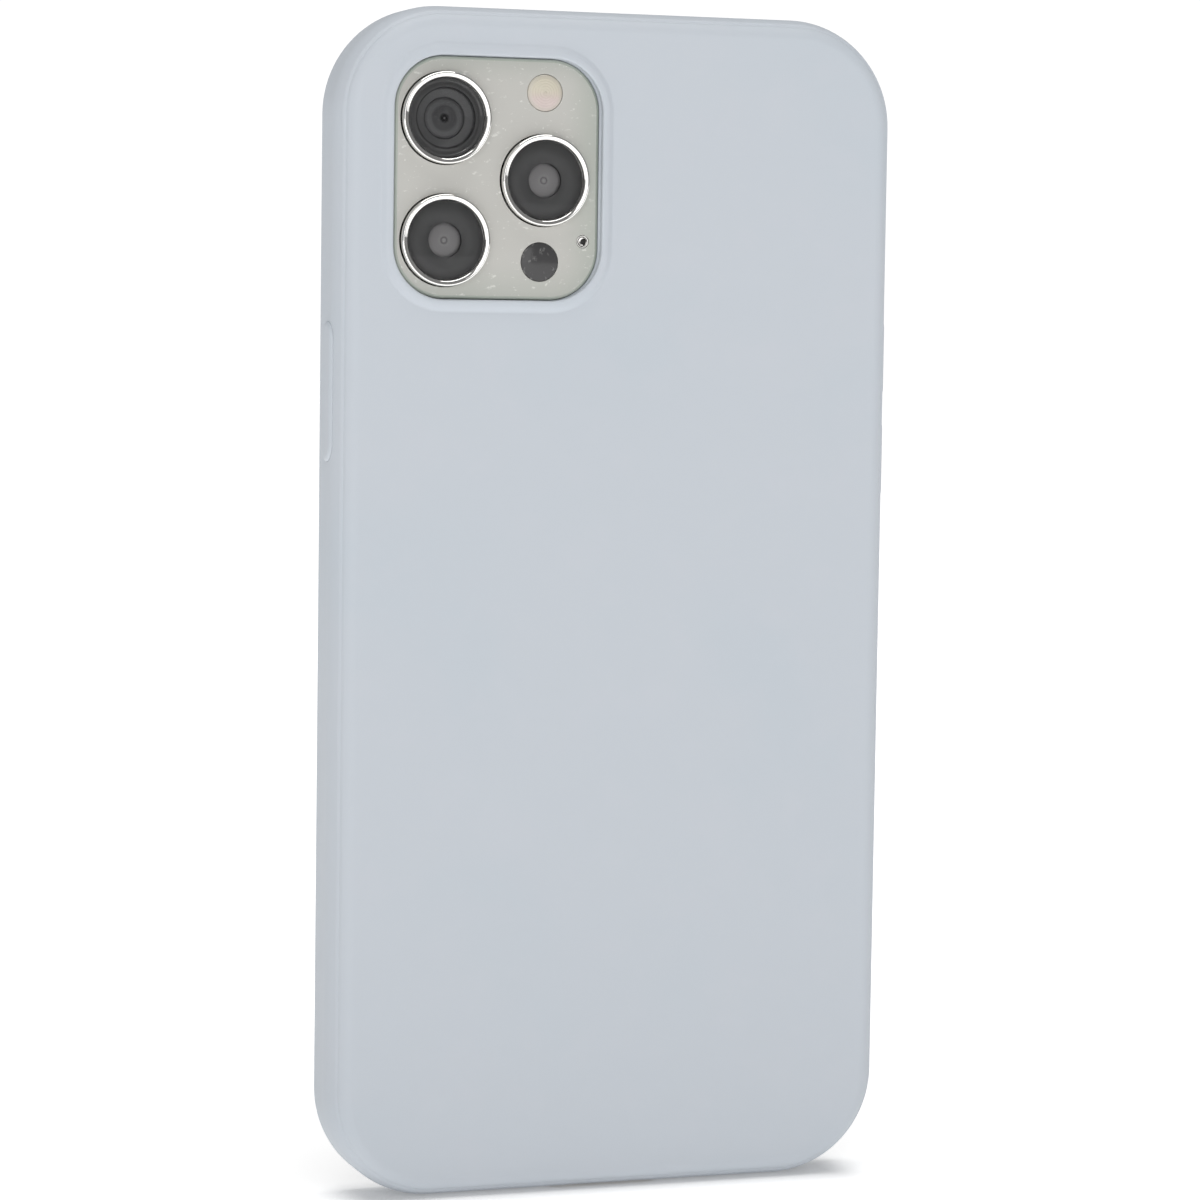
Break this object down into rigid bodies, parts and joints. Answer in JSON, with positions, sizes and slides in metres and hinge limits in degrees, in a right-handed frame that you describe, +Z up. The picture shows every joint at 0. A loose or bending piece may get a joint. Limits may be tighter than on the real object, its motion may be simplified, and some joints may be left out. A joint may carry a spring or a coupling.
{
  "type": "smartphone",
  "caption": "Slab handset in a soft silicone case, with a glass screen, a raised rear island of round lenses, side push buttons, a mute switch and a charging port.",
  "frame": {"origin": "centre of the bottom of the whole box: the handset stands on its bottom edge, the one with the charging port", "axes": "+Z up along the long side, -Y the way the screen faces, +Y the back with the camera island, +X the side with the long side button"},
  "size_m": [0.0818, 0.011, 0.1638],
  "materials": {
    "silicone": "soft matte, pale blue-grey",
    "polished_steel": "mirror polished",
    "rear_glass": "opaque backed glass, satin, warm pale grey",
    "front_glass": "clear polished cover glass over a black display",
    "display": "switched-off panel, black",
    "lens_glass": "clear coated cover glass",
    "sensor_glass": "dark infrared window",
    "black_plastic": "fine matte moulding",
    "diffuser": "milky lens over yellowish emitters",
    "antenna_plastic": "fine matte",
    "aluminium": "milled, satin",
    "shield_can": "pressed sheet, satin",
    "flex_cable": "amber film",
    "battery_pouch": "black laminate",
    "copper": "lacquered wound copper",
    "magnet": "nickel plated",
    "circuit_board": "dark blue solder mask",
    "card_plastic": "plain white card"
  },
  "bodies": {
    "handset": {"case_shell": "silicone", "side_button_switch": "flex_cable", "volume_switches": "flex_cable", "frame_band": "polished_steel", "antenna_break_lower_left": "antenna_plastic", "antenna_break_lower_right": "antenna_plastic", "antenna_break_upper_left": "antenna_plastic", "antenna_break_upper_right": "antenna_plastic", "cover_glass": "front_glass", "display_panel": "display", "earpiece_mesh": "shield_can", "earpiece_speaker": "black_plastic", "front_camera": "black_plastic", "infrared_camera": "black_plastic", "dot_projector": "black_plastic", "rear_glass": "rear_glass", "lens_ring_main": "polished_steel", "lens_ring_tele": "polished_steel", "lens_ring_ultrawide": "polished_steel", "lens_cover_main": "lens_glass", "lens_cover_tele": "lens_glass", "lens_cover_ultrawide": "lens_glass", "main_camera_housing": "shield_can", "tele_camera_housing": "shield_can", "ultrawide_camera_housing": "shield_can", "ultrawide_lens_barrel": "black_plastic", "flash_diffuser": "diffuser", "flash_emitter": "diffuser", "depth_sensor_window": "sensor_glass", "depth_sensor": "black_plastic", "rear_mic_mesh": "shield_can", "chassis_plate": "aluminium", "battery": "battery_pouch", "charging_coil": "copper", "alignment_magnets": "magnet", "logic_board": "circuit_board", "front_shield": "shield_can", "rear_shield": "shield_can", "sim_tray": "polished_steel", "sim_card": "card_plastic", "sim_reader": "shield_can", "charge_port_shell": "polished_steel", "charge_port_tongue": "black_plastic", "port_flex": "flex_cable", "bottom_screw_left": "polished_steel", "bottom_screw_right": "polished_steel", "loudspeaker": "black_plastic", "bottom_microphone": "shield_can", "haptic_can": "shield_can"},
    "side_key": {"side_button": "polished_steel", "side_pad": "silicone"},
    "volume_up_key": {"volume_up_button": "polished_steel", "volume_up_pad": "silicone"},
    "volume_down_key": {"volume_down_button": "polished_steel", "volume_down_pad": "silicone"},
    "mute_switch": {"ring_switch": "polished_steel"},
    "haptic_slider": {"haptic_mass": "magnet"},
    "main_focus_carriage": {"main_lens_barrel": "black_plastic"},
    "tele_focus_carriage": {"tele_lens_barrel": "black_plastic"}
  },
  "joints": [
    {"name": "side_key_press", "type": "slide", "parent": "handset", "child": "side_key", "axis": [-1, 0, 0], "range_m": [0, 0.00025], "stiffness_N_per_m": 4000},
    {"name": "volume_up_press", "type": "slide", "parent": "handset", "child": "volume_up_key", "axis": [1, 0, 0], "range_m": [0, 0.00025], "stiffness_N_per_m": 4000},
    {"name": "volume_down_press", "type": "slide", "parent": "handset", "child": "volume_down_key", "axis": [1, 0, 0], "range_m": [0, 0.00025], "stiffness_N_per_m": 4000},
    {"name": "mute_switch_slide", "type": "slide", "parent": "handset", "child": "mute_switch", "axis": [0, 1, 0], "range_m": [0, 0.0016]},
    {"name": "haptic_slide", "type": "slide", "parent": "handset", "child": "haptic_slider", "axis": [1, 0, 0], "range_m": [-0.0006, 0.0006], "stiffness_N_per_m": 2500},
    {"name": "main_focus", "type": "slide", "parent": "handset", "child": "main_focus_carriage", "axis": [0, 1, 0], "range_m": [0, 0.0003], "stiffness_N_per_m": 200},
    {"name": "tele_focus", "type": "slide", "parent": "handset", "child": "tele_focus_carriage", "axis": [0, 1, 0], "range_m": [0, 0.0003], "stiffness_N_per_m": 200}
  ]
}
